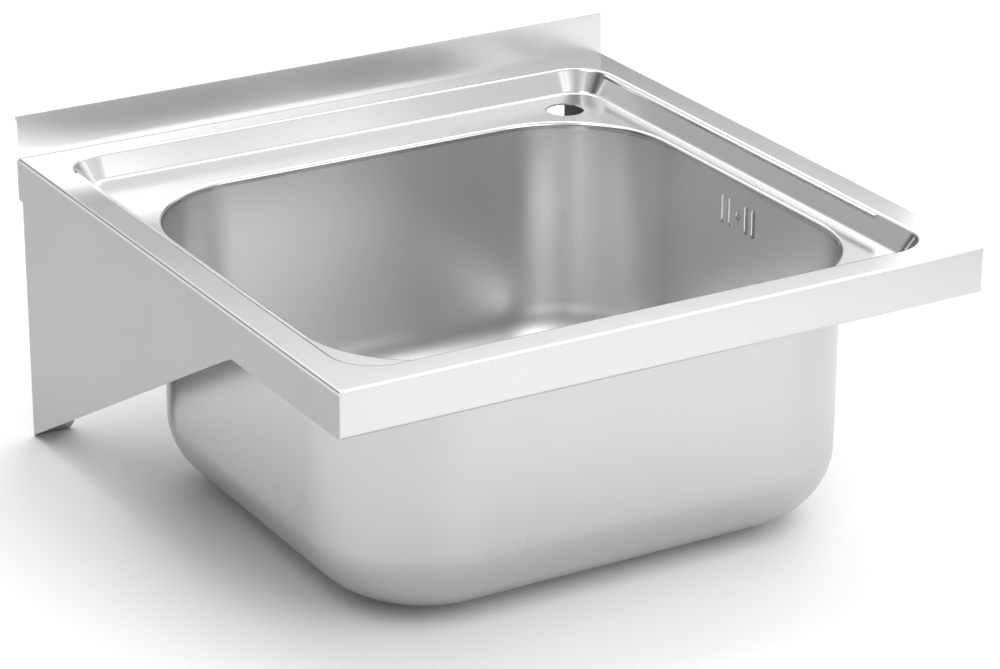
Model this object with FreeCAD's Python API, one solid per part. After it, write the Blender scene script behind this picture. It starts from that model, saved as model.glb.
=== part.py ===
import FreeCAD, Part
import math
import os

# Wall-hung stainless steel hand wash sink, all sizes in millimetres.
# X runs to the user's right, Y towards the wall, Z up. The origin is at floor
# level, in the middle of the width and of the depth.

# Overall envelope
overall_width = 600.0
overall_depth = 600.0
rim_height = 265.5
sheet = 1.2
fold_radius = 3.0
wall_gap = 5.5

# Front and side aprons
apron_height = 40.0
apron_return = 12.0
side_lip_height = 4.0
corner_seam = 0.3
corner_round = 1.0
corner_relief_diameter = 1.6

# Raised rim and the shallow recess pressed inside it
side_rim = 27.2
front_rim = 28.4
back_rim = 23.8
recess_depth = 20.0
recess_wall_run = 13.2
recess_corner_radius = 39.4

# Bowl, set in the recess floor with a strip of floor left round it
side_strip = 13.6
front_strip = 11.0
back_strip = 54.0
bowl_depth = 236.2
bowl_corner_radius = 107.0
bowl_bottom_radius = 61.8
bowl_collar_height = 6.0

# Drain: a shallow fall towards a pressed seat with a plain hole
drain_hole_diameter = 45.0
drain_seat_diameter = 66.0
drain_seat_depth = 3.5
drain_seat_flare = 2.0
drain_fall_edge = 13.65
drain_fall = 2.5

# Overflow in the right-hand bowl wall
overflow_drop = 33.3
overflow_slot_height = 26.5
overflow_slot_width = 5.8
overflow_inner_offset = 12.3
overflow_slot_pitch = 11.0
overflow_screw_diameter = 8.0

# Tap hole, at the right-hand back corner
tap_hole_diameter = 35.0
tap_hole_from_side = 86.0
tap_hole_from_wall = 81.5

# Strips on the recess side walls, just under the rim
ledge_from_front = 110.0
ledge_run_out = 8.0
ledge_drop = 1.4
ledge_width = 3.4
ledge_height = 3.2

# Upstand
upstand_height = 39.5
upstand_lean = 2.1
upstand_return_drop = 5.5
upstand_skirt_height = 38.0
ear_chamfer = 4.0

# Bracket part of each side panel, with its flange for the wall screws
bracket_from_front = 184.0
flange_width = 40.5
flange_corner_radius = 8.0
flange_relief = 1.0
flange_tab_height = 20.0
flange_tab_inset = 6.0
wall_hole_diameter = 9.0
wall_hole_from_side = 22.0
wall_hole_above_foot = 60.0
wall_hole_below_apron = 25.5

# Earthing tag under the back of the recess
tag_width = 20.0
tag_foot = 14.0
tag_leg = 30.0
tag_thickness = 1.5
tag_hole_diameter = 5.3
tag_hole_edge = 7.0

# Places worked out from the sizes above
half_width = overall_width / 2
front = -overall_depth / 2
wall = overall_depth / 2
back_edge = wall - wall_gap
rim_top = rim_height
apron_bottom = rim_top - apron_height
inner_fold = fold_radius - sheet
outer_fold = fold_radius + sheet
lip_bottom = rim_top - side_lip_height
recess_front = front + front_rim
recess_back = back_edge - back_rim
recess_half = half_width - side_rim
recess_floor = rim_top - recess_depth
lean_run = recess_wall_run / recess_depth
wall_thickness_run = sheet * math.hypot(1, lean_run)
bowl_half = recess_half - recess_wall_run - side_strip
bowl_front = recess_front + recess_wall_run + front_strip
bowl_back = recess_back - recess_wall_run - back_strip
bowl_middle = (bowl_front + bowl_back) / 2
drain_fall_radius = bowl_back - bowl_middle - bowl_bottom_radius - drain_fall_edge
bowl_floor = recess_floor - bowl_depth
collar_bottom = recess_floor - bowl_collar_height
tap_x = half_width - tap_hole_from_side
tap_y = wall - tap_hole_from_wall
past = 5.0


def box(x0, x1, y0, y1, z0, z1):
    """Axis-aligned block between two corners."""
    corner = FreeCAD.Vector(x0, y0, z0)
    return Part.makeBox(x1 - x0, y1 - y0, z1 - z0, corner)


def rounded_rectangle(x0, x1, y0, y1, radius, z):
    """Closed wire at height z: four straight sides joined by quarter arcs."""
    centres = [
        (x1 - radius, y0 + radius, -90),
        (x1 - radius, y1 - radius, 0),
        (x0 + radius, y1 - radius, 90),
        (x0 + radius, y0 + radius, 180),
    ]
    arcs = []
    for centre_x, centre_y, start in centres:
        points = []
        for angle in (start, start + 45, start + 90):
            turn = math.radians(angle)
            x = centre_x + radius * math.cos(turn)
            y = centre_y + radius * math.sin(turn)
            points.append(FreeCAD.Vector(x, y, z))
        arcs.append(points)
    edges = []
    for index, points in enumerate(arcs):
        following = arcs[(index + 1) % len(arcs)]
        edges.append(Part.Arc(points[0], points[1], points[2]).toShape())
        edges.append(Part.LineSegment(points[2], following[0]).toShape())
    return Part.Wire(edges)


def rounded_prism(x0, x1, y0, y1, radius, z0, z1):
    """Upright prism on a rounded rectangle."""
    face = Part.Face(rounded_rectangle(x0, x1, y0, y1, radius, z0))
    return face.extrude(FreeCAD.Vector(0, 0, z1 - z0))


def edges_where(shape, test):
    """Edges whose middle point passes the test."""
    found = []
    for edge in shape.Edges:
        middle = edge.valueAt((edge.FirstParameter + edge.LastParameter) / 2)
        if test(middle) and edge.Length > 0:
            found.append(edge)
    return found


def near(value, target):
    return abs(value - target) < 0.01


def level_loop(shape, z, half_x, y0, y1):
    """Level edges at height z that run along or inside the given rectangle."""
    def test(point):
        inside = abs(point.x) < half_x + 0.01 and y0 - 0.01 < point.y < y1 + 0.01
        return near(point.z, z) and inside
    return edges_where(shape, test)


def recess_solid(offset, top, bottom):
    """Tapered rounded pan: every wall leans in by the same angle, offset outwards."""
    wires = []
    for z in (top, bottom):
        grow = offset - (rim_top - z) * lean_run
        wires.append(rounded_rectangle(
            -recess_half - grow, recess_half + grow,
            recess_front - grow, recess_back + grow,
            recess_corner_radius + grow, z))
    return Part.makeLoft(wires, True, True)


def bowl_prism(offset, z0, z1):
    """Prism of the bowl's plan, grown outwards by offset."""
    return rounded_prism(
        -bowl_half - offset, bowl_half + offset,
        bowl_front - offset, bowl_back + offset,
        bowl_corner_radius + offset, z0, z1)


def upright_hole(diameter, x, y, z0, z1):
    return Part.makeCylinder(diameter / 2, z1 - z0, FreeCAD.Vector(x, y, z0))


def make_worktop():
    """One sheet: raised rim, recess, collar for the bowl, front apron and side lips."""
    outer = box(-half_width, half_width, front, back_edge, apron_bottom, rim_top)
    outer = outer.makeFillet(fold_radius, edges_where(outer, lambda p: (
        near(p.z, rim_top) and not near(p.y, back_edge))
        or (near(p.z, apron_bottom) and near(p.y, front))))
    inner = box(-half_width + sheet, half_width - sheet, front + sheet, back_edge + past,
                apron_bottom + sheet, rim_top - sheet)
    inner = inner.makeFillet(inner_fold, edges_where(inner, lambda p: (
        near(p.z, rim_top - sheet) and p.y < back_edge)
        or (near(p.z, apron_bottom + sheet) and near(p.y, front + sheet))))
    shell = outer.cut(inner)
    shell = shell.cut(box(-half_width - past, half_width + past, front + apron_return,
                          back_edge + past, apron_bottom - past, lip_bottom))
    for side in (-1, 1):
        edge = side * (half_width - sheet - corner_seam)
        far = side * (half_width + past)
        shell = shell.cut(box(min(edge, far), max(edge, far), front + sheet,
                              back_edge + past, apron_bottom - past, lip_bottom))

    pan = recess_solid(wall_thickness_run, rim_top - sheet / 2, recess_floor - sheet)
    pan = pan.makeFillet(outer_fold, edges_where(pan, lambda p: near(p.z, recess_floor - sheet)))
    air = recess_solid(0, rim_top + past, recess_floor)
    air = air.makeFillet(fold_radius, edges_where(air, lambda p: near(p.z, recess_floor)))
    sheet_body = shell.fuse(pan).cut(air)
    sheet_body = sheet_body.fuse(bowl_prism(sheet, collar_bottom, recess_floor - sheet))
    sheet_body = sheet_body.cut(bowl_prism(0, collar_bottom - past, rim_top + past))
    sheet_body = sheet_body.removeSplitter()

    rim_fold = level_loop(sheet_body, rim_top, recess_half, recess_front, recess_back)
    sheet_body = sheet_body.makeFillet(fold_radius, rim_fold)
    bowl_fold = level_loop(sheet_body, recess_floor, bowl_half, bowl_front, bowl_back)
    sheet_body = sheet_body.makeFillet(fold_radius, bowl_fold)
    under_fold = level_loop(sheet_body, rim_top - sheet, recess_half + wall_thickness_run,
                            recess_front - wall_thickness_run,
                            recess_back + wall_thickness_run)
    sheet_body = sheet_body.makeFillet(inner_fold, under_fold)
    collar_fold = level_loop(sheet_body, recess_floor - sheet, bowl_half + sheet,
                             bowl_front - sheet, bowl_back + sheet)
    sheet_body = sheet_body.makeFillet(inner_fold, collar_fold)

    sheet_body = sheet_body.cut(upright_hole(tap_hole_diameter, tap_x, tap_y,
                                             recess_floor - past, recess_floor + past))
    upright_corners = edges_where(sheet_body, lambda p: (
        near(abs(p.x), half_width) and near(p.y, front)))
    sheet_body = sheet_body.makeFillet(corner_round, upright_corners)
    for side in (-1, 1):
        start = FreeCAD.Vector(side * (half_width + 1), front - 1, rim_top + 1)
        inward = FreeCAD.Vector(-side, 1, -1)
        sheet_body = sheet_body.cut(Part.makeCylinder(
            corner_relief_diameter / 2, 2 * past, start, inward))
    return sheet_body


def make_upstand():
    """Folded sheet: skirt behind the worktop, leaning face, top and a short return."""
    top = rim_top + upstand_height
    foot = rim_top - upstand_skirt_height
    lip = top - upstand_return_drop
    outline = [
        (back_edge, foot),
        (back_edge, rim_top),
        (back_edge + upstand_lean, top),
        (wall, top),
        (wall, lip),
        (wall - sheet, lip),
        (wall - sheet, top - sheet),
        (back_edge + upstand_lean + sheet, top - sheet),
        (back_edge + sheet, rim_top),
        (back_edge + sheet, foot),
    ]
    points = [FreeCAD.Vector(-half_width, y, z) for y, z in outline]
    face = Part.Face(Part.makePolygon(points + points[:1]))
    upstand = face.extrude(FreeCAD.Vector(overall_width, 0, 0))
    top_fold = edges_where(upstand, lambda p: near(p.z, top) and near(p.x, 0))
    upstand = upstand.makeFillet(sheet, top_fold)
    for side in (-1, 1):
        inner = side * (half_width - sheet)
        outer = side * (half_width + past)
        upstand = upstand.cut(box(min(inner, outer), max(inner, outer), back_edge - past,
                                  wall + past, foot - past, rim_top))
    return upstand


def make_side_panel(side):
    """Side apron, slanted bracket and inward wall flange, for side -1 (left) or 1."""
    bend_start = back_edge - fold_radius
    slope = apron_bottom / (back_edge - front - bracket_from_front)
    bend_slant = slope * (back_edge - bend_start)
    outline = [
        (front + sheet + corner_seam, apron_bottom),
        (front + sheet + corner_seam, lip_bottom),
        (back_edge, lip_bottom),
        (back_edge, rim_top),
        (wall, rim_top - ear_chamfer),
        (wall, apron_bottom),
        (bend_start, apron_bottom),
        (bend_start, bend_slant),
        (front + bracket_from_front, apron_bottom),
    ]
    points = [FreeCAD.Vector(-half_width, y, z) for y, z in outline]
    face = Part.Face(Part.makePolygon(points + points[:1]))
    plate = face.extrude(FreeCAD.Vector(sheet, 0, 0))

    bend_top = apron_bottom - flange_relief
    bend = box(-half_width, -half_width + flange_width, bend_start - past, back_edge, 0, bend_top)
    bend = bend.makeFillet(fold_radius, edges_where(bend, lambda p: (
        near(p.x, -half_width) and near(p.y, back_edge))))
    hollow = box(-half_width + sheet, -half_width + flange_width + past,
                 bend_start - 2 * past, back_edge - sheet, -past, bend_top + past)
    hollow = hollow.makeFillet(inner_fold, edges_where(hollow, lambda p: (
        near(p.x, -half_width + sheet) and near(p.y, back_edge - sheet))))
    spare = box(-half_width - past, half_width, bend_start - 2 * past, bend_start,
                -past, bend_top + past)
    flange = bend.cut(hollow).cut(spare)
    flange = flange.makeFillet(flange_corner_radius, edges_where(flange, lambda p: (
        near(p.x, -half_width + flange_width) and near(p.z, 0))))
    tab = box(-half_width + flange_tab_inset, -half_width + flange_width,
              back_edge - sheet, back_edge, bend_top, apron_bottom + flange_tab_height)
    panel = plate.fuse(flange).fuse(tab).removeSplitter()
    for height in (wall_hole_above_foot, apron_bottom - wall_hole_below_apron):
        start = FreeCAD.Vector(-half_width + wall_hole_from_side, back_edge - past, height)
        panel = panel.cut(Part.makeCylinder(wall_hole_diameter / 2, 2 * past, start,
                                            FreeCAD.Vector(0, 1, 0)))
    if side > 0:
        panel = panel.mirror(FreeCAD.Vector(0, 0, 0), FreeCAD.Vector(1, 0, 0))
    return panel


def drain_dish(profile):
    """Solid of revolution about the middle of the bowl from (radius, height) points."""
    points = [FreeCAD.Vector(radius, bowl_middle, z) for radius, z in profile]
    face = Part.Face(Part.makePolygon(points + points[:1]))
    return face.revolve(FreeCAD.Vector(0, bowl_middle, 0), FreeCAD.Vector(0, 0, 1), 360)


def overflow_slot(y, z):
    """Cutter for one upright slot with round ends through the right-hand wall."""
    half_straight = (overflow_slot_height - overflow_slot_width) / 2
    start_x = bowl_half - past
    cutter = box(start_x, bowl_half + sheet + past,
                 y - overflow_slot_width / 2, y + overflow_slot_width / 2,
                 z - half_straight, z + half_straight)
    for end in (z - half_straight, z + half_straight):
        cutter = cutter.fuse(side_hole(overflow_slot_width, y, end))
    return cutter


def side_hole(diameter, y, z):
    start = FreeCAD.Vector(bowl_half - past, y, z)
    return Part.makeCylinder(diameter / 2, sheet + 2 * past, start, FreeCAD.Vector(1, 0, 0))


def make_bowl():
    """Pressed bowl, welded to the worktop's collar, with overflow and drain."""
    outer = bowl_prism(sheet, bowl_floor - sheet, collar_bottom)
    outer = outer.makeFillet(bowl_bottom_radius + sheet, edges_where(
        outer, lambda p: near(p.z, bowl_floor - sheet)))
    inner = bowl_prism(0, bowl_floor, collar_bottom + past)
    inner = inner.makeFillet(bowl_bottom_radius, edges_where(
        inner, lambda p: near(p.z, bowl_floor)))

    seat = drain_seat_diameter / 2
    seat_top = bowl_floor - drain_fall
    seat_floor = seat_top - drain_seat_depth
    dish_air = drain_dish([
        (0, bowl_floor + past),
        (drain_fall_radius, bowl_floor + past),
        (drain_fall_radius, bowl_floor),
        (seat + drain_seat_flare, seat_top),
        (seat, seat_floor),
        (0, seat_floor),
    ])
    dish_metal = drain_dish([
        (0, bowl_floor),
        (drain_fall_radius, bowl_floor),
        (drain_fall_radius, bowl_floor - sheet),
        (seat + drain_seat_flare + sheet, seat_top - sheet),
        (seat + sheet, seat_floor - sheet),
        (0, seat_floor - sheet),
    ])
    bowl = outer.fuse(dish_metal).cut(inner.fuse(dish_air))
    bowl = bowl.cut(upright_hole(drain_hole_diameter, 0, bowl_middle,
                                 seat_floor - past, seat_floor + past))
    overflow_z = recess_floor - overflow_drop
    for side in (-1, 1):
        for step in (0, 1):
            offset = side * (overflow_inner_offset + step * overflow_slot_pitch)
            bowl = bowl.cut(overflow_slot(bowl_middle + offset, overflow_z))
    bowl = bowl.cut(side_hole(overflow_screw_diameter, bowl_middle, overflow_z))
    return bowl.removeSplitter()


def make_ledge(side, worktop):
    """Bar under the rim fold, running back until the recess corner swallows it."""
    end = recess_back - recess_corner_radius + ledge_run_out
    top = rim_top - ledge_drop
    bottom = top - ledge_height
    face_x = recess_half - ledge_drop * lean_run - ledge_width
    outline = [
        (recess_half - ledge_drop * lean_run, top),
        (face_x, top),
        (face_x, bottom),
        (recess_half - (ledge_drop + ledge_height) * lean_run, bottom),
    ]
    points = [FreeCAD.Vector(x, front + ledge_from_front, z) for x, z in outline]
    face = Part.Face(Part.makePolygon(points + points[:1]))
    ledge = face.extrude(FreeCAD.Vector(0, end - front - ledge_from_front, 0))
    if side < 0:
        ledge = ledge.mirror(FreeCAD.Vector(0, 0, 0), FreeCAD.Vector(1, 0, 0))
    return ledge.cut(worktop)


def make_earth_tag():
    """Small angle with a screw hole, spot-welded under the back of the recess."""
    underside = recess_floor - sheet
    foot_y = (bowl_back + recess_back) / 2
    foot = box(-tap_x - tag_width / 2, -tap_x + tag_width / 2, foot_y - tag_foot / 2,
               foot_y + tag_foot / 2, underside - tag_thickness, underside)
    leg = box(-tap_x - tag_width / 2, -tap_x + tag_width / 2,
              foot_y + tag_foot / 2 - tag_thickness, foot_y + tag_foot / 2,
              underside - tag_leg, underside)
    start = FreeCAD.Vector(-tap_x, foot_y, underside - tag_leg + tag_hole_edge)
    hole = Part.makeCylinder(tag_hole_diameter / 2, tag_foot, start, FreeCAD.Vector(0, 1, 0))
    return foot.fuse(leg).cut(hole).removeSplitter()


def save(name, shape):
    """Write one piece, and print what it measures."""
    solids = shape.Solids
    shape = solids[0] if len(solids) == 1 else Part.makeCompound(solids)
    shape.exportStep("parts/" + name + ".step")
    limits = shape.BoundBox
    print(name, len(solids), shape.isValid(), round(shape.Volume, 1),
          [round(value, 2) for value in (limits.XMin, limits.YMin, limits.ZMin,
                                         limits.XMax, limits.YMax, limits.ZMax)])


os.makedirs("parts", exist_ok=True)
worktop = make_worktop()
save("worktop", worktop)
save("upstand", make_upstand())
save("bowl", make_bowl())
save("side_panel_left", make_side_panel(-1))
save("side_panel_right", make_side_panel(1))
save("ledge_left", make_ledge(-1, worktop))
save("ledge_right", make_ledge(1, worktop))
save("earth_tag", make_earth_tag())
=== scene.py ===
import math

import bpy
import numpy as np
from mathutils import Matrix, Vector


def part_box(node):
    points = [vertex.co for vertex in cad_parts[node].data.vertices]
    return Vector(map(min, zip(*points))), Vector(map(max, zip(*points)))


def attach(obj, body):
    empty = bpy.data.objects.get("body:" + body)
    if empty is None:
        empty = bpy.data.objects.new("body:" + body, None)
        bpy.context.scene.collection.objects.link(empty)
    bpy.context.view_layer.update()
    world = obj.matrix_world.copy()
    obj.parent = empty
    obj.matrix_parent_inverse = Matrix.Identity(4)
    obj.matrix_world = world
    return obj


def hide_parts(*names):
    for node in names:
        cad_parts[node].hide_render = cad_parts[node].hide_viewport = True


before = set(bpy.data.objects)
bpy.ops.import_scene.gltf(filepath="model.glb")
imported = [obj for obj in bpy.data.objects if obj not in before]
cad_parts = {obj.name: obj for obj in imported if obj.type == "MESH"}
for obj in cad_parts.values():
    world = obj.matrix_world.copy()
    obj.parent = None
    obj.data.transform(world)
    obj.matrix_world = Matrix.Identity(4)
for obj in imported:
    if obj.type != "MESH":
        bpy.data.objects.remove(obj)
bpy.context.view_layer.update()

# Sizes of the folded sheet, in metres. The overall places come from the frame.
MM = 0.001
SHEET = 1.2 * MM
FOLD = 3.0 * MM
RIM_FOLD = 2.0 * MM
RECESS_FOLD = 4.0 * MM
TOP_LOW, TOP_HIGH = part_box("worktop")
BOWL_LOW, BOWL_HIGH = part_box("bowl")
UPSTAND_LOW, UPSTAND_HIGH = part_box("upstand")
PANEL_LOW, PANEL_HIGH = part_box("side_panel_left")

HALF_WIDTH = TOP_HIGH[0]
FRONT = TOP_LOW[1]
BACK_EDGE = TOP_HIGH[1]
RIM_TOP = TOP_HIGH[2]
APRON_BOTTOM = TOP_LOW[2]
LIP_BOTTOM = RIM_TOP - 4.0 * MM
APRON_RETURN = 12.0 * MM
WALL = UPSTAND_HIGH[1]

# Recess pressed into the worktop
SIDE_RIM = 27.2 * MM
FRONT_RIM = 28.4 * MM
BACK_RIM = 23.8 * MM
RECESS_DEPTH = 20.0 * MM
RECESS_RUN = 13.2 * MM
RECESS_RADIUS = 39.4 * MM
RECESS_FLOOR = RIM_TOP - RECESS_DEPTH
RECESS_SLOPE = math.atan2(RECESS_DEPTH, RECESS_RUN)
RECESS = (-HALF_WIDTH + SIDE_RIM, HALF_WIDTH - SIDE_RIM, FRONT + FRONT_RIM, BACK_EDGE - BACK_RIM)

# Bowl
BOWL = (BOWL_LOW[0] + SHEET, BOWL_HIGH[0] - SHEET, BOWL_LOW[1] + SHEET, BOWL_HIGH[1] - SHEET)
BOWL_MIDDLE = (BOWL[2] + BOWL[3]) / 2
BOWL_RADIUS = 107.0 * MM
BOWL_BOTTOM_RADIUS = 61.8 * MM
BOWL_TOP = BOWL_HIGH[2]
BOWL_FLOOR = RECESS_FLOOR - 236.2 * MM
DRAIN_FALL_RADIUS = 150.0 * MM
DRAIN_FALL = 2.5 * MM
DRAIN_SEAT = 33.0 * MM
DRAIN_FLARE = 2.0 * MM
DRAIN_SEAT_DEPTH = 3.5 * MM
DRAIN_HOLE = 22.5 * MM

# Overflow slots in the right-hand wall, with a screw hole between them
OVERFLOW_HEIGHT = RECESS_FLOOR - 33.3 * MM
SLOT_WIDTH = 5.8 * MM
SLOT_HEIGHT = 26.5 * MM
SLOT_INNER = 12.3 * MM
SLOT_PITCH = 11.0 * MM
SCREW_HOLE = 4.0 * MM

# Tap hole
TAP_PLACE = (HALF_WIDTH - 86.0 * MM, WALL - 81.5 * MM)
TAP_HOLE = 17.5 * MM

# Side panels
BRACKET_FRONT = FRONT + 184.0 * MM
BRACKET_SLOPE = APRON_BOTTOM / (BACK_EDGE - BRACKET_FRONT)
PANEL_FRONT = PANEL_LOW[1]
FLANGE_WIDTH = PANEL_HIGH[0] - PANEL_LOW[0]
FLANGE_CORNER = 8.0 * MM
FLANGE_RELIEF = 1.0 * MM
FLANGE_TAB = 20.0 * MM
FLANGE_TAB_INSET = 6.0 * MM
EAR_CHAMFER = 4.0 * MM
SEAM_ROUND = 4.8 * MM
SEAM_RELIEF = 1.4 * MM
WALL_HOLE = 4.5 * MM
WALL_HOLE_X = -HALF_WIDTH + 22.0 * MM
WALL_HOLE_HEIGHTS = (60.0 * MM, 200.0 * MM)

# Upstand
UPSTAND_LEAN = 2.1 * MM
UPSTAND_DROP = 5.5 * MM

# Ledges on the recess side walls
LEDGE_DROP = 1.4 * MM
LEDGE_HEIGHT = 3.2 * MM
LEDGE_ROUND = 1.0 * MM
LEDGE_INTO_WALL = 0.3 * MM

# Steps of the grids
ARC_STEPS = 8
CORNER_STEPS = 48
SIDE_STEPS = 24
OVERFLOW_ZONE = 26.0 * MM
OVERFLOW_STEPS = 42
BESIDE_OVERFLOW_STEPS = 10
OVERFLOW_BAND = 2.5 * MM
ABOVE_OVERFLOW_STEPS = 4
OVERFLOW_RISE_STEPS = 26
BELOW_OVERFLOW_STEPS = 12
BOTTOM_BEND_STEPS = 28
DRAIN_FALL_STEPS = 6
SEAM_STEPS = 6
BRACKET_STEPS = 24
BRACKET_RISE_STEPS = 64
UPSTAND_STEPS = 24
SHEET_FOLD_STEPS = 5

# How far beyond a hole's edge the grid is cut away
TAP_CUT = 1.5 * MM
SLOT_CUT = 0.3 * MM
SCREW_CUT = 0.5 * MM
WALL_HOLE_CUT = 0.4 * MM

# Finish of the edges
SHARP_ANGLE = math.radians(35)
SHEET_EDGE_ROUND = 0.4 * MM
SEAM_EDGE_ROUND = 1.0 * MM
NEAR = 0.1 * MM

# Satin finish: scale of the broad variation in polish, and the relief of the grain
POLISH_SCALE = 14.0
GRAIN_RELIEF = 0.002
GRAIN_DEPTH = 0.02 * MM

# Studio. The lamps are 0.5 m soft boxes, given as name, place and power in watts. A patch of the
# surround is a direction, the cosines at which it starts and is full, and its amount.
FLOOR_TONE = 0.88
FLOOR_HALF = 7.0
WORLD_LEVEL = 0.02
SURROUND_PATCHES = (
    ((0.38, 0.66, 0.64), 0.80, 0.98, 0.50),
    ((0.35, 0.35, 0.87), 0.80, 0.98, 0.88),
    ((0.44, 0.55, 0.707), 0.890, 0.935, 1.24),
    ((-0.13, 0.73, 0.67), 0.80, 0.98, 0.50),
    ((-0.49, 0.69, 0.53), 0.85, 0.98, 0.45),
    ((0.0, 0.50, 0.87), 0.80, 0.98, 0.60),
    ((0.64, 0.0, 0.77), 0.80, 0.98, 0.60),
    ((0.54, -0.54, 0.64), 0.60, 0.95, 0.87),
    ((0.0, -0.87, 0.50), 0.80, 0.98, 0.26),
    ((-0.45, -0.21, 0.87), 0.80, 0.98, 0.35),
    ((-0.60, -0.70, 0.40), 0.30, 0.95, 0.35),
)
LAMP_SIZE = 0.5
LAMP_TARGET = (0, 0, 0.2)
LAMPS = (
    ("top lamp", (-0.3, 0.2, 1.4), 3.5),
    ("left lamp", (-0.8, -0.5, 1.2), 1.6),
    ("front lamp left", (-0.3, -0.75, 0.95), 0.6),
    ("front lamp", (0.1, -0.8, 0.95), 1.1),
    ("front lamp right", (0.5, -0.8, 0.95), 0.5),
    ("low front lamp", (0.0, -1.05, 0.5), 0.9),
    ("low right lamp", (0.5, -1.0, 0.5), 1.35),
    ("right lamp", (0.95, 0.3, 0.6), 0.8),
)
CAMERA_PLACE = (-1.4633, -2.5054, 1.3444)
CAMERA_TURN = math.radians(-29.91)
CAMERA_DOWN = math.radians(22.50)
CAMERA_SENSOR = 36.0
CAMERA_LENS = 131.10
CAMERA_SHIFT = 0.03798


# ---------------------------------------------------------------- grids

def spread(start, stop, steps):
    """Evenly spaced values from start up to, and without, stop."""
    return start + (stop - start) * np.arange(steps) / steps


def arc_corner(t):
    """Quarter circle: cosine and sine of t quarter turns."""
    return np.cos(t * np.pi / 2), np.sin(t * np.pi / 2)


def square_corner(t):
    """Two straight legs that meet in a right angle at the middle of t."""
    return np.clip(2 - 2 * t, 0, 1), np.clip(2 * t, 0, 1)


def plan_ring(limits, centres, corner, shares):
    """Closed row of plan points, anticlockwise from the front left. Each side is straight from one
    corner centre to the next, with points at its shares of the length, and each corner is its
    centre plus the two side distances weighted by the corner rule over a quarter turn."""
    x0, x1, y0, y1 = limits
    cx0, cx1, cy0, cy1 = centres
    along = [
        ((cx0, y0), (cx1, y0)),
        ((x1, cy0), (x1, cy1)),
        ((cx1, y1), (cx0, y1)),
        ((x0, cy1), (x0, cy0)),
    ]
    turns = [
        ((cx1, cy0), (0, y0 - cy0), (x1 - cx1, 0)),
        ((cx1, cy1), (x1 - cx1, 0), (0, y1 - cy1)),
        ((cx0, cy1), (0, y1 - cy1), (x0 - cx0, 0)),
        ((cx0, cy0), (x0 - cx0, 0), (0, y0 - cy0)),
    ]
    rows = []
    t = spread(0, 1, CORNER_STEPS)
    for (start, stop), (centre, leg_a, leg_b), share in zip(along, turns, shares):
        start, stop = np.array(start), np.array(stop)
        rows.append(start + (stop - start) * share[:, None])
        weight_a, weight_b = corner(t)
        rows.append(np.array(centre) + weight_a[:, None] * np.array(leg_a)
                    + weight_b[:, None] * np.array(leg_b))
    return np.concatenate(rows)


def inset(limits, distance):
    """Rectangle drawn in by a distance on every side."""
    x0, x1, y0, y1 = limits
    return (x0 + distance, x1 - distance, y0 + distance, y1 - distance)


def at_height(plan, z):
    """Plan points with a height."""
    return np.column_stack([plan, np.full(len(plan), z)])


def stack_faces(rows, columns, closed):
    """Quads between neighbouring rows of a grid, row by row. A closed grid joins its last column
    to its first."""
    row = np.arange(rows - 1)[:, None] * columns
    column = np.arange(columns if closed else columns - 1)[None, :]
    following = (column + 1) % columns
    quads = np.stack([row + column, row + following,
                      row + columns + following, row + columns + column], axis=-1)
    return quads.reshape(-1, 4)


def joined(parts):
    """Several (points, faces) pairs as one, with corners at the same place made one corner."""
    points, faces, count = [], [], 0
    for part_points, part_faces in parts:
        points.append(part_points)
        faces.append(part_faces + count)
        count += len(part_points)
    points, faces = np.concatenate(points), np.concatenate(faces)
    keys = np.round(points / (0.01 * MM)).astype(np.int64)
    _, first, same = np.unique(keys, axis=0, return_index=True, return_inverse=True)
    return points[first], same.reshape(-1)[faces]


def directed_edges(faces):
    """Start and end corner of every side of every face."""
    starts = faces.reshape(-1)
    ends = np.roll(faces, -1, axis=1).reshape(-1)
    real = starts != ends
    return starts[real], ends[real]


def free_edges(faces, count):
    """Sides that only one face has, in that face's direction."""
    starts, ends = directed_edges(faces)
    alone = ~np.isin(starts * count + ends, ends * count + starts)
    return starts[alone], ends[alone]


def cut_hole(points, faces, distance, outline, reach):
    """Opens a hole. Faces with a corner nearer than reach go, and the loop that is left is joined
    by a band of quads to its own corners moved onto the hole's outline."""
    near = distance(points) < reach
    gone = near[faces].any(axis=1)
    kept = faces[~gone]
    count = len(points)
    gone_starts, gone_ends = directed_edges(faces[gone])
    starts, ends = directed_edges(kept)
    edge = np.isin(starts * count + ends, gone_ends * count + gone_starts)
    starts, ends = starts[edge], ends[edge]
    loop = np.unique(starts)
    moved = outline(points[loop])
    new_start = count + np.searchsorted(loop, starts)
    new_end = count + np.searchsorted(loop, ends)
    band = np.stack([ends, starts, new_start, new_end], axis=1)
    return np.concatenate([points, moved]), np.concatenate([kept, band])


def stadium(centre, half_straight, radius, across, up):
    """Distance and outline rules of a slot with round ends: the nearest point of its middle line,
    and that point plus the radius towards the corner."""
    centre = np.array(centre)

    def nearest(points):
        height = np.clip((points - centre)[:, up], -half_straight, half_straight)
        middle = np.tile(centre, (len(points), 1))
        middle[:, up] += height
        middle[:, 3 - across - up] = points[:, 3 - across - up]
        return middle

    def distance(points):
        away = points - nearest(points)
        level = np.abs((points - centre)[:, 3 - across - up]) > FOLD
        return np.linalg.norm(away, axis=1) + level

    def outline(points):
        middle = nearest(points)
        away = points - middle
        return middle + radius * away / np.linalg.norm(away, axis=1)[:, None]

    return distance, outline


def without_strays(points, faces):
    """The same faces, without the points that none of them uses."""
    used = np.unique(faces)
    return points[used], np.searchsorted(used, faces)


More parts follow.
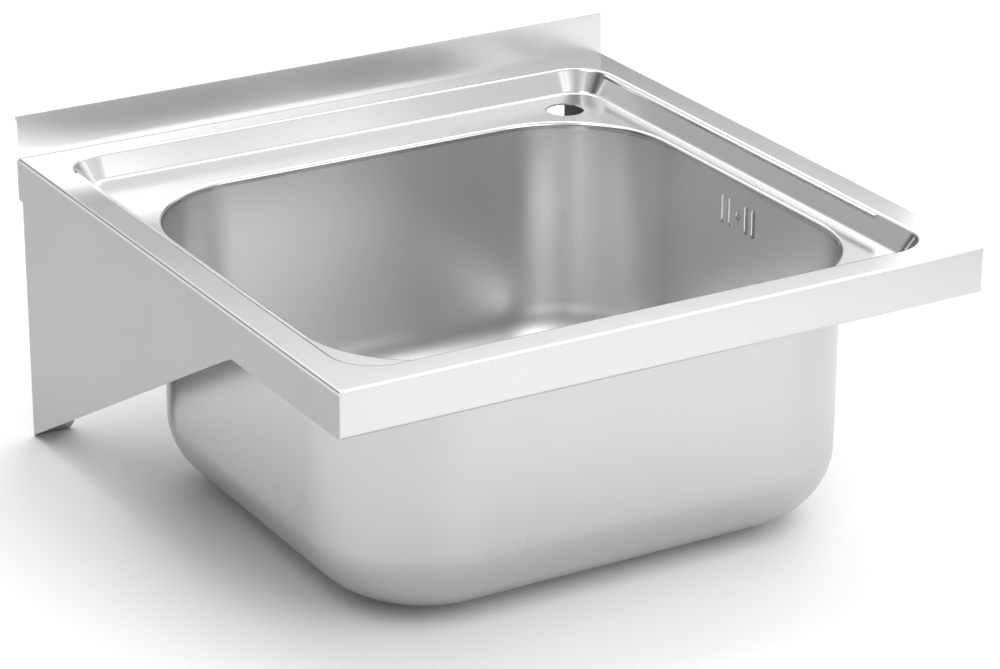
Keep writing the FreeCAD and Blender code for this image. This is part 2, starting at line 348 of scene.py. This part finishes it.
def shell(points, faces, thickness):
    """Closed sheet from one skin: the skin, the skin pushed back along the averaged corner normals
    (further where the faces round a corner meet at an angle), and a band along each free edge."""
    points, faces = without_strays(points, faces)
    corner = points[faces]
    normal = np.cross(corner[:, 2] - corner[:, 0], corner[:, 3] - corner[:, 1])
    area = np.linalg.norm(normal, axis=1)
    unit = normal / area[:, None]
    mean = np.zeros_like(points)
    for index in range(4):
        np.add.at(mean, faces[:, index], normal)
    mean /= np.linalg.norm(mean, axis=1)[:, None]
    shared = np.zeros(len(points))
    weight = np.zeros(len(points))
    for index in range(4):
        at = faces[:, index]
        np.add.at(shared, at, area * np.einsum("ij,ij->i", mean[at], unit))
        np.add.at(weight, at, area)
    back = points - mean * (thickness * weight / shared)[:, None]
    count = len(points)
    starts, ends = free_edges(faces, count)
    band = np.stack([ends, starts, starts + count, ends + count], axis=1)
    return np.concatenate([points, back]), np.concatenate([faces, faces[:, ::-1] + count, band])


def without_repeats(faces):
    """Faces as lists of corners, with a corner that repeats its neighbour left out."""
    repeated = (faces == np.roll(faces, 1, axis=1)).any(axis=1)
    clean = faces[~repeated].tolist()
    for face in faces[repeated].tolist():
        clean.append([at for index, at in enumerate(face) if at != face[index - 1]])
    return clean


def make_piece(name, points, faces, material, replaced, rounded=None,
               round_width=SHEET_EDGE_ROUND):
    """One smooth-shaded object whose edges over the sharp angle stay sharp. rounded picks, from
    the middles of the edges, those that get a narrow round."""
    mesh = bpy.data.meshes.new(name)
    mesh.from_pydata(points.tolist(), [], without_repeats(faces))
    mesh.polygons.foreach_set("use_smooth", np.ones(len(mesh.polygons), dtype=bool))
    mesh.update()
    mesh.set_sharp_from_angle(angle=SHARP_ANGLE)
    piece = bpy.data.objects.new(name, mesh)
    bpy.context.scene.collection.objects.link(piece)
    mesh.materials.append(material)
    if rounded is not None:
        ends = np.zeros(2 * len(mesh.edges), dtype=np.int64)
        mesh.edges.foreach_get("vertices", ends)
        middle = points[ends.reshape(-1, 2)].mean(axis=1)
        weight = rounded(middle).astype(np.float32)
        attribute = mesh.attributes.new("bevel_weight_edge", "FLOAT", "EDGE")
        attribute.data.foreach_set("value", weight)
        bevel = piece.modifiers.new("edge round", "BEVEL")
        bevel.limit_method = "WEIGHT"
        bevel.width = round_width
        bevel.segments = 3
    weighted = piece.modifiers.new("even normals", "WEIGHTED_NORMAL")
    weighted.keep_sharp = True
    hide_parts(*replaced)
    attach(piece, "root")
    return piece


# ---------------------------------------------------------------- materials

def grey(tone):
    """Colour of one grey tone, solid."""
    return tone, tone, tone, 1


def noise(nodes, links, place, scale, detail):
    """Noise at a place, as a socket."""
    texture = nodes.new("ShaderNodeTexNoise")
    texture.inputs["Scale"].default_value = scale
    texture.inputs["Detail"].default_value = detail
    links.new(place, texture.inputs["Vector"])
    return texture.outputs["Fac"]


def middle_range(nodes, links, value, low, high):
    """The middle part of a noise, 0.3 to 0.7, spread from low to high."""
    spreader = nodes.new("ShaderNodeMapRange")
    spreader.inputs["From Min"].default_value = 0.3
    spreader.inputs["From Max"].default_value = 0.7
    spreader.inputs["To Min"].default_value = low
    spreader.inputs["To Max"].default_value = high
    links.new(value, spreader.inputs["Value"])
    return spreader.outputs["Result"]


def brushed_steel(name, colour, roughness, grain, stroke, wear, outside=None):
    """Satin stainless steel. The grain is noise drawn out along one axis, stroke gives its scale on
    each axis, and it moves roughness and height a little. A broad noise lets the polish vary.
    outside, when given, is a darker base colour on the faces that the mesh marks as outer skin:
    painted shade."""
    material = bpy.data.materials.new(name)
    material.use_nodes = True
    nodes, links = material.node_tree.nodes, material.node_tree.links
    shader = nodes["Principled BSDF"]
    shader.inputs["Base Color"].default_value = colour
    shader.inputs["Metallic"].default_value = 1.0

    place = nodes.new("ShaderNodeTexCoord")
    drawn = nodes.new("ShaderNodeMapping")
    drawn.inputs["Scale"].default_value = stroke
    links.new(place.outputs["Object"], drawn.inputs["Vector"])
    lines = noise(nodes, links, drawn.outputs["Vector"], 1.0, 4.0)
    polish = noise(nodes, links, place.outputs["Object"], POLISH_SCALE, 3.0)

    both = nodes.new("ShaderNodeMath")
    both.operation = "ADD"
    fine = middle_range(nodes, links, lines, roughness - grain, roughness + grain)
    broad = middle_range(nodes, links, polish, -wear, wear)
    links.new(fine, both.inputs[0])
    links.new(broad, both.inputs[1])
    links.new(both.outputs["Value"], shader.inputs["Roughness"])

    # Painted shade: the outer skin gets a darker base colour than the inside, so the outside reads
    # shaded.
    if outside is not None:
        skin = nodes.new("ShaderNodeAttribute")
        skin.attribute_name = "outer_skin"
        tone = nodes.new("ShaderNodeMix")
        tone.data_type = "RGBA"
        tone.inputs["A"].default_value = colour
        tone.inputs["B"].default_value = outside
        links.new(skin.outputs["Fac"], tone.inputs["Factor"])
        links.new(tone.outputs["Result"], shader.inputs["Base Color"])

    relief = nodes.new("ShaderNodeBump")
    relief.inputs["Strength"].default_value = GRAIN_RELIEF
    relief.inputs["Distance"].default_value = GRAIN_DEPTH
    links.new(lines, relief.inputs["Height"])
    links.new(relief.outputs["Normal"], shader.inputs["Normal"])
    return material


# ---------------------------------------------------------------- pieces

def side_shares():
    """Shares of each side's length at which the bowl's grid has its upright lines. The right-hand
    side is close-set round the overflow."""
    length = BOWL[3] - BOWL[2] - 2 * BOWL_RADIUS
    middle = BOWL_MIDDLE - BOWL[2] - BOWL_RADIUS
    start, stop = (middle - OVERFLOW_ZONE) / length, (middle + OVERFLOW_ZONE) / length
    close_set = np.concatenate([spread(0, start, BESIDE_OVERFLOW_STEPS),
                                spread(start, stop, OVERFLOW_STEPS),
                                spread(stop, 1, BESIDE_OVERFLOW_STEPS)])
    plain = spread(0, 1, SIDE_STEPS)
    return [plain, close_set, plain, plain]


def worktop_skin():
    """Upper skin of the worktop, ring inside ring: the flat rim, a bend down, the leaning wall, a
    bend to the recess floor, the floor, a bend down and the collar. A strip outside the rim folds
    down at the front and sides, and at the front runs on down the apron to its return."""
    plain = [spread(0, 1, SIDE_STEPS)] * 4
    recess_centres = inset(RECESS, RECESS_RADIUS)
    tangent = RECESS_FOLD * math.tan(RECESS_SLOPE / 2)
    rim = (-HALF_WIDTH + RIM_FOLD, HALF_WIDTH - RIM_FOLD, FRONT + RIM_FOLD, BACK_EDGE)
    rings = [at_height(plan_ring(rim, recess_centres, square_corner, plain), RIM_TOP)]

    def recess_ring(distance, z):
        return at_height(plan_ring(inset(RECESS, distance), recess_centres, arc_corner, plain), z)

    bend = np.linspace(0, RECESS_SLOPE, ARC_STEPS + 1)
    for angle in bend:
        rings.append(recess_ring(-tangent + RECESS_FOLD * math.sin(angle),
                                 RIM_TOP - RECESS_FOLD * (1 - math.cos(angle))))
    for angle in bend[::-1]:
        rings.append(recess_ring(RECESS_RUN + tangent - RECESS_FOLD * math.sin(angle),
                                 RECESS_FLOOR + RECESS_FOLD * (1 - math.cos(angle))))

    bowl_centres = inset(BOWL, BOWL_RADIUS)
    floor_edge = rings[-1]
    opening = at_height(plan_ring(inset(BOWL, -FOLD), bowl_centres, arc_corner, plain),
                        RECESS_FLOOR)
    floor_rings = 24
    for step in range(1, floor_rings):
        share = step / floor_rings
        rings.append(floor_edge + (opening - floor_edge) * share)
    for angle in np.linspace(0, math.pi / 2, ARC_STEPS + 1):
        lip = inset(BOWL, -FOLD * (1 - math.sin(angle)))
        plan = plan_ring(lip, bowl_centres, arc_corner, plain)
        rings.append(at_height(plan, RECESS_FLOOR - FOLD * (1 - math.cos(angle))))
    rings.append(at_height(plan_ring(BOWL, bowl_centres, arc_corner, plain), BOWL_TOP))
    columns = len(rings[0])
    main = (np.concatenate(rings), stack_faces(len(rings), columns, True))
    return joined([main] + outer_strip(rings[0]))


def outer_strip(edge):
    """Folds outside the rim. Each point of the rim's edge moves outwards by the fold's radius
    times the sine of the bend, and down by the radius times one minus its cosine. A point at a
    front corner moves outwards from both sides. Below the lip only the front goes on: down, round
    the bottom bend and back along the return."""
    left = np.isclose(edge[:, 0], -HALF_WIDTH + RIM_FOLD)
    right = np.isclose(edge[:, 0], HALF_WIDTH - RIM_FOLD)
    at_front = np.isclose(edge[:, 1], FRONT + RIM_FOLD)
    out = np.column_stack([right.astype(float) - left, -at_front.astype(float),
                           np.zeros(len(edge))])
    on_path = left | right | at_front
    order = np.argsort(path_key(edge[on_path], left[on_path], right[on_path], at_front[on_path]))
    path, out = edge[on_path][order], out[on_path][order]
    down = np.array([0, 0, -1.0])
    rows = []
    for angle in np.linspace(0, math.pi / 2, ARC_STEPS + 1):
        rows.append(path + (out * math.sin(angle) + down * (1 - math.cos(angle))) * RIM_FOLD)
    rows.append(path + out * RIM_FOLD + down * (RIM_TOP - LIP_BOTTOM))
    folds = (np.concatenate(rows), stack_faces(len(rows), len(path), False))

    front_part = np.isclose(path[:, 1], FRONT + RIM_FOLD)
    start = rows[-1][front_part]
    lower = [start]
    for z in np.linspace(LIP_BOTTOM, APRON_BOTTOM + FOLD, 5)[1:]:
        lower.append(np.column_stack([start[:, :2], np.full(len(start), z)]))
    for angle in np.linspace(0, math.pi / 2, ARC_STEPS + 1)[1:]:
        y = FRONT + FOLD * (1 - math.cos(angle))
        z = APRON_BOTTOM + FOLD * (1 - math.sin(angle))
        half = HALF_WIDTH if y < FRONT + SHEET else HALF_WIDTH - SHEET
        across = np.clip(start[:, 0], -half, half)
        lower.append(np.column_stack([across, np.full(len(start), y), np.full(len(start), z)]))
    lower.append(np.column_stack([across, np.full(len(start), FRONT + APRON_RETURN),
                                  np.full(len(start), APRON_BOTTOM)]))
    apron = (np.concatenate(lower), stack_faces(len(lower), len(start), False))
    return [flipped(folds), flipped(apron)]


def path_key(points, left, right, at_front):
    """Distance travelled along the rim's edge: forwards on the left, across the front, then
    backwards on the right."""
    key = np.zeros(len(points))
    key[left] = -points[left, 1]
    key[at_front] = HALF_WIDTH + points[at_front, 0] + HALF_WIDTH
    key[right & ~at_front] = 4 * HALF_WIDTH + points[right & ~at_front, 1]
    return key


def flipped(part):
    """The same faces, turned over."""
    points, faces = part
    return points, faces[:, ::-1]


def make_worktop(material):
    """Worktop with its tap hole. The apron's ends and the rear edge of the rim are rounded."""
    points, faces = worktop_skin()
    centre = (TAP_PLACE[0], TAP_PLACE[1], RECESS_FLOOR)
    distance, outline = stadium(centre, 0.0, TAP_HOLE, 0, 1)
    points, faces = cut_hole(points, faces, distance, outline, TAP_HOLE + TAP_CUT)
    points, faces = shell(points, faces, SHEET)

    def seam_edges(middle):
        side = np.abs(np.abs(middle[:, 0]) - HALF_WIDTH) < NEAR
        face = np.abs(middle[:, 1] - FRONT) < NEAR
        rear = np.abs(middle[:, 1] - BACK_EDGE) < NEAR
        apron_end = side & face & (middle[:, 2] < RIM_TOP - FOLD)
        return apron_end | rear & (middle[:, 2] > RIM_TOP - NEAR)

    return make_piece("worktop_sheet", points, faces, material, ["worktop"],
                      seam_edges, SEAM_EDGE_ROUND)


def bowl_skin():
    """Inner skin of the bowl, ring under ring: upright walls, a quarter circle of the bottom radius
    that draws the plan in, the flat floor, a shallow cone to the drain, and the drain seat."""
    shares = side_shares()
    centres = inset(BOWL, BOWL_RADIUS)
    bend_top = BOWL_FLOOR + BOWL_BOTTOM_RADIUS
    slot_top = OVERFLOW_HEIGHT + SLOT_HEIGHT / 2 + OVERFLOW_BAND
    slot_foot = OVERFLOW_HEIGHT - SLOT_HEIGHT / 2 - OVERFLOW_BAND
    heights = np.concatenate([
        spread(BOWL_TOP, slot_top, ABOVE_OVERFLOW_STEPS),
        spread(slot_top, slot_foot, OVERFLOW_RISE_STEPS),
        spread(slot_foot, bend_top, BELOW_OVERFLOW_STEPS),
    ])
    wall = plan_ring(BOWL, centres, arc_corner, shares)
    rings = [at_height(wall, z) for z in heights]
    for angle in np.linspace(0, math.pi / 2, BOTTOM_BEND_STEPS + 1):
        plan = plan_ring(inset(BOWL, BOWL_BOTTOM_RADIUS * (1 - math.cos(angle))), centres,
                         arc_corner, shares)
        rings.append(at_height(plan, bend_top - BOWL_BOTTOM_RADIUS * math.sin(angle)))
    floor_edge = rings[-1]
    turn = np.arctan2(floor_edge[:, 1] - BOWL_MIDDLE, floor_edge[:, 0])

    def circle(radius, z):
        return np.column_stack([radius * np.cos(turn), BOWL_MIDDLE + radius * np.sin(turn),
                                np.full(len(turn), z)])

    fall_foot = BOWL_FLOOR - DRAIN_FALL
    seat_floor = fall_foot - DRAIN_SEAT_DEPTH
    rim = circle(DRAIN_FALL_RADIUS, BOWL_FLOOR)
    for share in (0.5, 1.0):
        rings.append(floor_edge + (rim - floor_edge) * share)
    for share in np.linspace(0, 1, DRAIN_FALL_STEPS + 1)[1:]:
        radius = DRAIN_FALL_RADIUS + (DRAIN_SEAT + DRAIN_FLARE - DRAIN_FALL_RADIUS) * share
        rings.append(circle(radius, BOWL_FLOOR - DRAIN_FALL * share))
    rings.append(circle(DRAIN_SEAT, seat_floor))
    rings.append(circle(DRAIN_HOLE, seat_floor))
    columns = len(rings[0])
    return np.concatenate(rings), stack_faces(len(rings), columns, True)


def make_bowl(material):
    """Bowl with its overflow slots and screw hole. Points of the outer skin are marked for the
    material, which paints them a darker tone as painted shade."""
    points, faces = bowl_skin()
    half_straight = (SLOT_HEIGHT - SLOT_WIDTH) / 2
    for side in (-1, 1):
        for step in (0, 1):
            y = BOWL_MIDDLE + side * (SLOT_INNER + step * SLOT_PITCH)
            distance, outline = stadium((BOWL[1], y, OVERFLOW_HEIGHT), half_straight,
                                        SLOT_WIDTH / 2, 1, 2)
            points, faces = cut_hole(points, faces, distance, outline, SLOT_WIDTH / 2 + SLOT_CUT)
    distance, outline = stadium((BOWL[1], BOWL_MIDDLE, OVERFLOW_HEIGHT), 0.0, SCREW_HOLE, 1, 2)
    points, faces = cut_hole(points, faces, distance, outline, SCREW_HOLE + SCREW_CUT)
    points, faces = shell(points, faces, SHEET)
    piece = make_piece("bowl_pressing", points, faces, material, ["bowl"])
    # The marked outer skin takes the material's darker painted-shade tone.
    outer = np.arange(len(points)) >= len(points) // 2
    attribute = piece.data.attributes.new("outer_skin", "FLOAT", "POINT")
    attribute.data.foreach_set("value", outer.astype(np.float32))
    return piece


def panel_skin():
    """Outer skin of the left side panel, unfolded into columns from front to back. Each column
    runs between a lower and an upper edge: a quarter round behind the apron's end, the slanted
    bracket, then round the rear bend and along the flange, whose lower corner is a quarter circle.
    The apron above it stays flat to the wall."""
    x = -HALF_WIDTH
    bend_start = BACK_EDGE - FOLD

    turn = spread(math.pi / 2, 0, SEAM_STEPS)
    upper_y = np.concatenate([
        PANEL_FRONT + SEAM_ROUND * (1 - np.sin(turn)),
        spread(PANEL_FRONT + SEAM_ROUND, BRACKET_FRONT, 8),
        spread(BRACKET_FRONT, bend_start, BRACKET_STEPS),
        [bend_start, BACK_EDGE, BACK_EDGE + 0.01 * MM, WALL]])
    upper_x = np.full(len(upper_y), x)
    upper_x[:len(turn)] += SEAM_ROUND * (1 - np.cos(turn))
    upper_top = np.where(upper_y <= BACK_EDGE, LIP_BOTTOM,
                         RIM_TOP - EAR_CHAMFER * (upper_y - BACK_EDGE) / (WALL - BACK_EDGE))
    upper_top[upper_y < PANEL_FRONT + SEAM_ROUND / 2] -= SEAM_RELIEF
    rise = np.linspace(0, 1, 5)[:, None]
    upper_z = APRON_BOTTOM + (upper_top[None, :] - APRON_BOTTOM) * rise
    upper = np.stack(np.broadcast_arrays(upper_x[None, :], upper_y[None, :], upper_z), axis=-1)

    bracket_y = np.append(spread(BRACKET_FRONT, bend_start, BRACKET_STEPS), bend_start)
    bracket_foot = APRON_BOTTOM - BRACKET_SLOPE * (bracket_y - BRACKET_FRONT)
    rise = np.linspace(0, 1, BRACKET_RISE_STEPS + 1)[:, None]
    bracket_z = bracket_foot[None, :] + (APRON_BOTTOM - bracket_foot[None, :]) * rise
    bracket = np.stack(np.broadcast_arrays(x, bracket_y[None, :], bracket_z), axis=-1)

    angle = np.linspace(0, math.pi / 2, ARC_STEPS + 1)
    inner_end = x + FLANGE_WIDTH
    flange_x = np.concatenate([
        x + FOLD * (1 - np.cos(angle)),
        np.linspace(x + FLANGE_TAB_INSET, inner_end - FLANGE_CORNER, 12),
        inner_end - FLANGE_CORNER * (1 - np.sin(angle[1:]))])
    flange_y = np.concatenate([bend_start + FOLD * np.sin(angle),
                               np.full(len(flange_x) - len(angle), BACK_EDGE)])
    past_corner = np.clip(flange_x - (inner_end - FLANGE_CORNER), 0, FLANGE_CORNER)
    flange_foot = FLANGE_CORNER - np.sqrt(FLANGE_CORNER ** 2 - past_corner ** 2)
    start_foot = bracket_foot[-1]
    flange_foot = np.maximum(flange_foot, start_foot * (flange_x - x < FOLD / 2))
    top = APRON_BOTTOM - FLANGE_RELIEF
    flange_z = flange_foot[None, :] + (top - flange_foot[None, :]) * rise
    flange = np.stack(np.broadcast_arrays(flange_x[None, :], flange_y[None, :], flange_z), axis=-1)

    tab_x = flange_x[flange_x > x + FLANGE_TAB_INSET - NEAR]
    tab_rise = np.linspace(top, APRON_BOTTOM + FLANGE_TAB, 4)[:, None]
    tab = np.stack(np.broadcast_arrays(tab_x[None, :], BACK_EDGE, tab_rise), axis=-1)
    parts = []
    for grid in (upper, bracket, flange, tab):
        rows, columns, _ = grid.shape
        parts.append((grid.reshape(-1, 3), stack_faces(rows, columns, False)[:, ::-1]))
    return joined(parts)


def make_side_panel(side, name, node, material):
    """Side panel with its wall holes, mirrored for the right-hand side. The cut edge along the
    slant is rounded."""
    points, faces = panel_skin()
    for height in WALL_HOLE_HEIGHTS:
        distance, outline = stadium((WALL_HOLE_X, BACK_EDGE, height), 0.0, WALL_HOLE, 0, 2)
        points, faces = cut_hole(points, faces, distance, outline, WALL_HOLE + WALL_HOLE_CUT)
    points, faces = shell(points, faces, SHEET)
    if side > 0:
        points = points * np.array([-1, 1, 1])
        faces = faces[:, ::-1]

    def slanted_edges(middle):
        lower = middle[:, 2] < APRON_BOTTOM - 2 * MM
        return lower & (middle[:, 1] < BACK_EDGE - 2 * FOLD) & near_slant(middle)

    return make_piece(name, points, faces, material, [node], slanted_edges)


def near_slant(points):
    """Points within half a millimetre of the bracket's slanted edge."""
    slant = APRON_BOTTOM - BRACKET_SLOPE * (points[:, 1] - BRACKET_FRONT)
    return np.abs(points[:, 2] - slant) < 0.5 * MM


def upstand_profile():
    """Front skin of the upstand from its skirt's foot, up the leaning face, over the top and down
    the return, as (y, z) points with quarter rounds of the sheet's thickness at the two folds."""
    lean = math.atan2(UPSTAND_LEAN, UPSTAND_HIGH[2] - RIM_TOP)
    low = [(BACK_EDGE, z) for z in np.linspace(UPSTAND_LOW[2], RIM_TOP, 4)]
    top = UPSTAND_HIGH[2]
    corner_y = BACK_EDGE + UPSTAND_LEAN
    face = [(BACK_EDGE + UPSTAND_LEAN * share, RIM_TOP + (top - RIM_TOP) * share)
            for share in np.linspace(0, 1, 9)[1:-1]]
    first = []
    for angle in np.linspace(lean, math.pi / 2, SHEET_FOLD_STEPS + 1):
        first.append((corner_y + SHEET * (1 - math.cos(angle)),
                      top - SHEET * (1 - math.sin(angle))))
    second = []
    for angle in np.linspace(0, math.pi / 2, SHEET_FOLD_STEPS + 1):
        second.append((WALL - SHEET * (1 - math.sin(angle)), top - SHEET * (1 - math.cos(angle))))
    end = [(WALL, top - UPSTAND_DROP)]
    return np.array(low + face + first + second + end)


def make_upstand(material):
    """The profile carried across the width. The skirt stops one sheet short of each end, between
    the side panels."""
    profile = upstand_profile()
    across = np.linspace(-1, 1, UPSTAND_STEPS + 1)
    half = np.where(profile[:, 1] < RIM_TOP - NEAR, HALF_WIDTH - SHEET, HALF_WIDTH)
    x = across[None, :] * half[:, None]
    y = np.broadcast_to(profile[:, :1], x.shape)
    z = np.broadcast_to(profile[:, 1:], x.shape)
    points = np.stack([x, y, z], axis=-1)
    rows, columns, _ = points.shape
    points, faces = joined([(points.reshape(-1, 3), stack_faces(rows, columns, False))])
    points, faces = shell(points, faces, SHEET)
    return make_piece("upstand_sheet", points, faces, material, ["upstand"])


def make_ledge(side, name, node, material):
    """Small bar along the recess wall. Its section is a rectangle whose wall side follows the
    wall's lean, with a quarter round at the open top and the open foot cut off."""
    low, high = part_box("ledge_right")
    lean = RECESS_RUN / RECESS_DEPTH
    top = RIM_TOP - LEDGE_DROP
    foot = top - LEDGE_HEIGHT
    face = low[0]
    half_round = LEDGE_ROUND / 2
    open_top = [(face + LEDGE_ROUND * (1 - math.sin(angle)),
                 top - LEDGE_ROUND * (1 - math.cos(angle)))
                for angle in np.linspace(0, math.pi / 2, 5)]
    open_foot = [(face, foot + half_round), (face + half_round, foot)]
    wall_top = (RECESS[1] - LEDGE_DROP * lean + LEDGE_INTO_WALL, top)
    wall_foot = (RECESS[1] - (LEDGE_DROP + LEDGE_HEIGHT) * lean, foot)
    section = np.array([wall_top] + open_top + open_foot + [wall_foot])
    along = np.linspace(low[1], high[1], 12)
    rings = [np.column_stack([section[:, 0], np.full(len(section), y), section[:, 1]])
             for y in along]
    points = np.concatenate(rings)
    faces = stack_faces(len(along), len(section), True)
    end = np.array([[0, 1, 2, 3], [0, 3, 4, 5], [0, 5, 6, 7], [0, 7, 8, 8]])
    last = len(points) - len(section)
    faces = np.concatenate([faces, end[:, ::-1], end + last])
    if side < 0:
        points = points * np.array([-1, 1, 1])
        faces = faces[:, ::-1]
    return make_piece(name, points, faces, material, [node])


# ---------------------------------------------------------------- studio

def make_floor():
    """Plain pale floor: one flat square."""
    half = FLOOR_HALF
    corners = [(-half, -half, 0), (half, -half, 0), (half, half, 0), (-half, half, 0)]
    mesh = bpy.data.meshes.new("floor")
    mesh.from_pydata(corners, [], [(0, 1, 2, 3)])
    floor = bpy.data.objects.new("floor", mesh)
    bpy.context.scene.collection.objects.link(floor)
    material = bpy.data.materials.new("pale floor")
    material.use_nodes = True
    shader = material.node_tree.nodes["Principled BSDF"]
    shader.inputs["Base Color"].default_value = grey(FLOOR_TONE)
    shader.inputs["Roughness"].default_value = 0.9
    shader.inputs["Specular IOR Level"].default_value = 0.0
    mesh.materials.append(material)


def make_lamp(name, place, power):
    """Soft box: a square area lamp turned towards the sink."""
    light = bpy.data.lights.new(name, "AREA")
    light.shape = "SQUARE"
    light.size = LAMP_SIZE
    light.energy = power
    lamp = bpy.data.objects.new(name, light)
    bpy.context.scene.collection.objects.link(lamp)
    lamp.location = place
    towards = np.array(LAMP_TARGET) - np.array(place)
    level = math.hypot(towards[0], towards[1])
    lamp.rotation_euler = (math.atan2(level, -towards[2]), 0,
                           math.atan2(towards[1], towards[0]) - math.pi / 2)


def make_world():
    """Studio surround. Its strength is a dim level all round, plus soft patches: each is an amount
    times a smooth step of the cosine between the view into the world and a direction."""
    world = bpy.data.worlds.new("studio")
    bpy.context.scene.world = world
    world.use_nodes = True
    nodes, links = world.node_tree.nodes, world.node_tree.links
    background = nodes["Background"]
    place = nodes.new("ShaderNodeTexCoord")
    dim = nodes.new("ShaderNodeValue")
    dim.outputs[0].default_value = WORLD_LEVEL
    total = dim.outputs[0]
    for direction, start, stop, amount in SURROUND_PATCHES:
        length = math.sqrt(sum(part * part for part in direction))
        cosine = nodes.new("ShaderNodeVectorMath")
        cosine.operation = "DOT_PRODUCT"
        cosine.inputs[1].default_value = [part / length for part in direction]
        links.new(place.outputs["Generated"], cosine.inputs[0])
        patch = nodes.new("ShaderNodeMapRange")
        patch.interpolation_type = "SMOOTHSTEP"
        patch.inputs["From Min"].default_value = start
        patch.inputs["From Max"].default_value = stop
        patch.inputs["To Max"].default_value = amount
        links.new(cosine.outputs["Value"], patch.inputs["Value"])
        added = nodes.new("ShaderNodeMath")
        added.operation = "ADD"
        links.new(total, added.inputs[0])
        links.new(patch.outputs["Result"], added.inputs[1])
        total = added.outputs["Value"]
    links.new(total, background.inputs["Strength"])
    background.inputs["Color"].default_value = grey(1)


def make_camera():
    """Long lens from the front left and above, with the photograph's own framing."""
    camera = bpy.data.cameras.new("camera")
    camera.sensor_width = CAMERA_SENSOR
    camera.lens = CAMERA_LENS
    camera.shift_x = CAMERA_SHIFT
    seat = bpy.data.objects.new("camera", camera)
    bpy.context.scene.collection.objects.link(seat)
    seat.location = CAMERA_PLACE
    seat.rotation_euler = (math.pi / 2 - CAMERA_DOWN, 0, CAMERA_TURN)
    bpy.context.scene.camera = seat


def main():
    """Steels, then the pieces, then the studio."""
    along_depth = (1500, 60, 1500)
    along_width = (60, 1500, 1500)
    top = brushed_steel("satin steel, worktop", grey(0.585), 0.18, 0.015, along_depth, 0.010)
    upstand = brushed_steel("satin steel, upstand", grey(0.76), 0.26, 0.006, along_width, 0.006)
    # The bowl's darker outside tone is painted shade; its inside keeps the steel's tone.
    bowl = brushed_steel("satin steel, bowl, painted shade outside", grey(0.685), 0.30, 0.015, (900, 900, 200), 0.015,
                         outside=grey(0.53))
    # The side panels' dark base colour is painted shade: the same satin steel as the other sheets,
    # made darker.
    panel = brushed_steel("satin steel, side panel, painted shade", grey(0.40), 0.30, 0.02, along_depth, 0.015)
    ledge = brushed_steel("satin steel, ledge", grey(0.66), 0.25, 0.03, along_depth, 0.02)
    tag = brushed_steel("mill steel, tag", (0.62, 0.62, 0.60, 1), 0.40, 0.06, (400, 400, 80), 0.04)

    make_worktop(top)
    make_bowl(bowl)
    make_upstand(upstand)
    make_side_panel(-1, "panel_left", "side_panel_left", panel)
    make_side_panel(1, "panel_right", "side_panel_right", panel)
    make_ledge(-1, "recess_ledge_left", "ledge_left", ledge)
    make_ledge(1, "recess_ledge_right", "ledge_right", ledge)
    tag_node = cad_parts["earth_tag"]
    for slot in tag_node.material_slots:
        slot.material = tag

    make_floor()
    make_world()
    for name, place, power in LAMPS:
        make_lamp(name, place, power)
    make_camera()
    bpy.context.scene.view_settings.view_transform = "Standard"


main()
